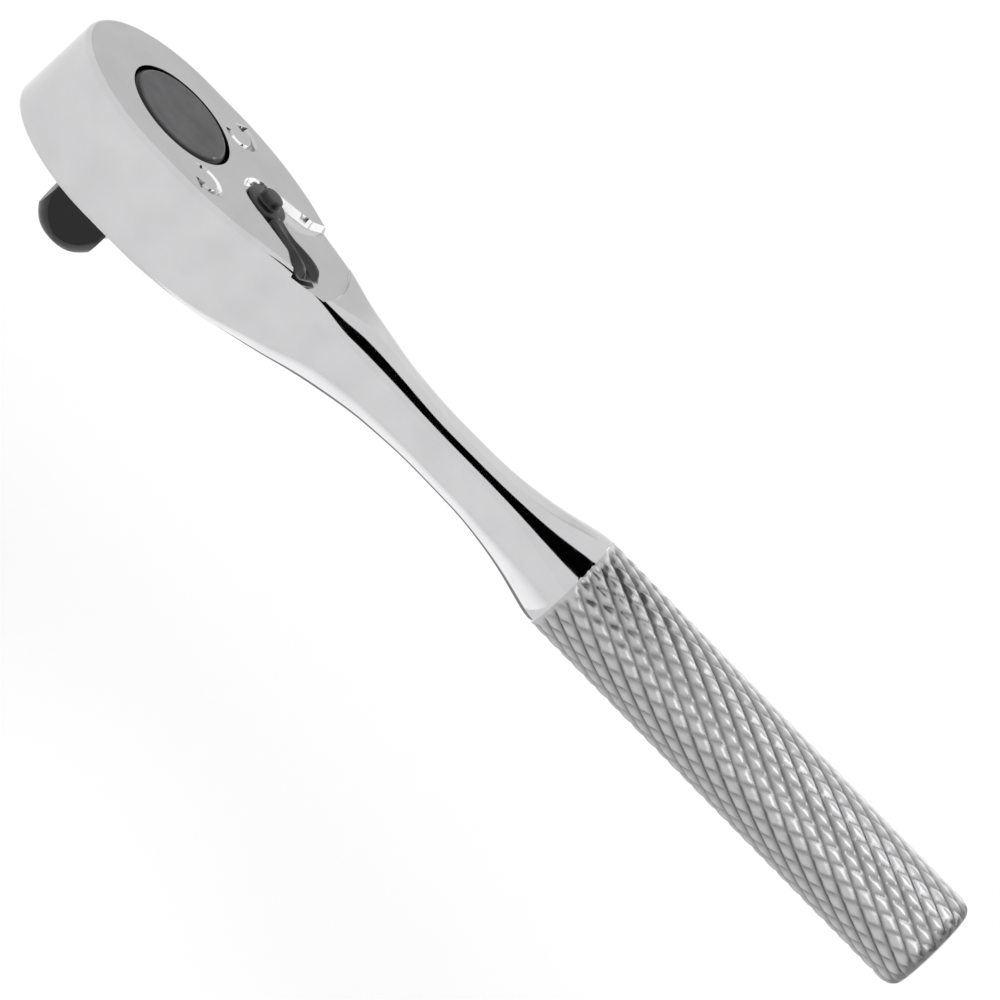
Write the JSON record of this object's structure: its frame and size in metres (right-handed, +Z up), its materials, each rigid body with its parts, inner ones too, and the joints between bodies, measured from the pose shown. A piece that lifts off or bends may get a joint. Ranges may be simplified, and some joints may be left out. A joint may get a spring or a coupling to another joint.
{
  "type": "ratchet wrench",
  "caption": "Pear-head ratchet wrench with a square drive, a thumb reversing lever, a friction pawl mechanism and a knurled round grip.",
  "frame": {"origin": "centre of the drive square's end face", "axes": "+Z up the drive axis from the square's end to the lever side of the head, +X from the drive axis along the handle to the grip's end"},
  "size_m": [0.1707, 0.031, 0.0268],
  "materials": {
    "chrome": "polished chrome plate on forged steel, slightly satin, knurled on the grip",
    "drive_steel": "dark phosphated steel, machined",
    "black_oxide": "black oxide",
    "bright_steel": "ground and hardened steel, oiled",
    "spring_steel": "oiled spring steel",
    "rubber": "nitrile rubber"
  },
  "bodies": {
    "frame": {"body": "chrome", "cover_plate": "black_oxide", "cover_screw_front": "black_oxide", "cover_screw_left": "black_oxide", "cover_screw_right": "black_oxide", "friction_washer": "spring_steel"},
    "gear": {"drive_gear": "drive_steel", "detent_spring": "spring_steel"},
    "ball": {"detent_ball": "bright_steel"},
    "lever": {"reverse_lever": "black_oxide", "lever_clip": "spring_steel", "lever_o_ring": "rubber", "plunger_spring": "spring_steel"},
    "plunger": {"pawl_plunger": "bright_steel"},
    "pawl": {"pawl": "bright_steel"}
  },
  "joints": [
    {"name": "drive_spin", "type": "hinge", "parent": "frame", "child": "gear", "pos_m": [0, 0, 0], "axis": [0, 0, 1], "continuous": true},
    {"name": "lever_swing", "type": "hinge", "parent": "frame", "child": "lever", "pos_m": [0.0167, 0, 0.018], "axis": [0, 0, 1], "range_deg": [0, 66]},
    {"name": "pawl_rock", "type": "hinge", "parent": "frame", "child": "pawl", "pos_m": [0.0167, 0, 0.018], "axis": [0, 0, 1], "range_deg": [-6, 0]},
    {"name": "plunger_press", "type": "slide", "parent": "lever", "child": "plunger", "axis": [0.8387, -0.5446, 0], "range_m": [-0.0006, 0], "stiffness_N_per_m": 300, "springref_m": 0.0004, "deforming": ["plunger_spring"]},
    {"name": "detent_press", "type": "slide", "parent": "gear", "child": "ball", "axis": [-1, 0, 0], "range_m": [0, 0.0007], "stiffness_N_per_m": 500, "springref_m": -0.0004, "deforming": ["detent_spring"]}
  ],
  "couplings": [
    {"joint": "lever_swing", "follows": "pawl_rock", "ratio": -11}
  ]
}
